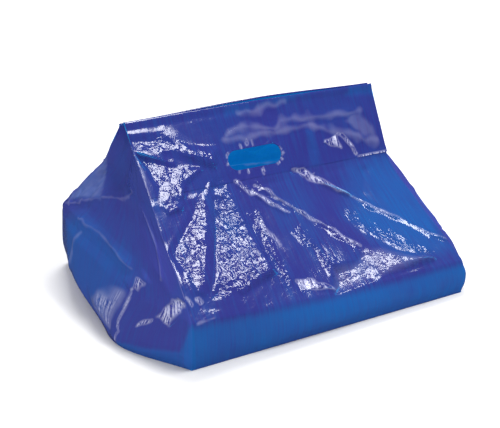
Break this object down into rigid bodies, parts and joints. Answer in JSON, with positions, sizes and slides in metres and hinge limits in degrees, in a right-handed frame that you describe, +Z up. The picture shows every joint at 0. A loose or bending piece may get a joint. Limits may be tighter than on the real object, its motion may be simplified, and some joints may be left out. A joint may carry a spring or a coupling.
{
  "type": "fruit picking bag",
  "caption": "Gusseted plastic film bag with a turned-over top, punched hand holes and a wide flat base, standing half collapsed.",
  "frame": {"origin": "middle of the bag's footprint, on the surface it stands on", "axes": "+X along the bag's width to the right of someone facing its front, +Y from its front to its back, +Z up"},
  "size_m": [0.568, 0.4002, 0.3064],
  "materials": {
    "film_panel": "gloss",
    "film_gusset": "gloss",
    "film_hem": "gloss",
    "film_patch": "gloss",
    "film_base": "satin",
    "weld_seam": "gloss"
  },
  "bodies": {
    "bag_body": {"front_low_wall": "film_panel", "front_slope_panel": "film_panel", "right_gusset_front": "film_gusset", "right_gusset_back": "film_gusset", "back_low_wall": "film_panel", "back_slope_panel": "film_panel", "left_gusset_back": "film_gusset", "left_gusset_front": "film_gusset", "base_front": "film_base", "base_back": "film_base", "bottom_seal": "weld_seam", "left_neck_gusset_front": "film_gusset", "left_neck_gusset_back": "film_gusset", "right_neck_gusset_front": "film_gusset", "right_neck_gusset_back": "film_gusset"},
    "front_lip": {"front_upper_panel": "film_panel", "front_hem": "film_hem", "front_handle_patch": "film_patch"},
    "back_lip": {"back_upper_panel": "film_panel", "back_hem": "film_hem", "back_handle_patch": "film_patch"}
  },
  "joints": [
    {"name": "front_lip_opens", "type": "hinge", "parent": "bag_body", "child": "front_lip", "pos_m": [0.013, -0.044, 0.186], "axis": [0.9915, 0.0745, -0.1071], "range_deg": [0, 50]},
    {"name": "back_lip_opens", "type": "hinge", "parent": "bag_body", "child": "back_lip", "pos_m": [0.0075, 0.104, 0.19], "axis": [-0.9956, -0.0093, 0.0928], "range_deg": [0, 50]}
  ]
}
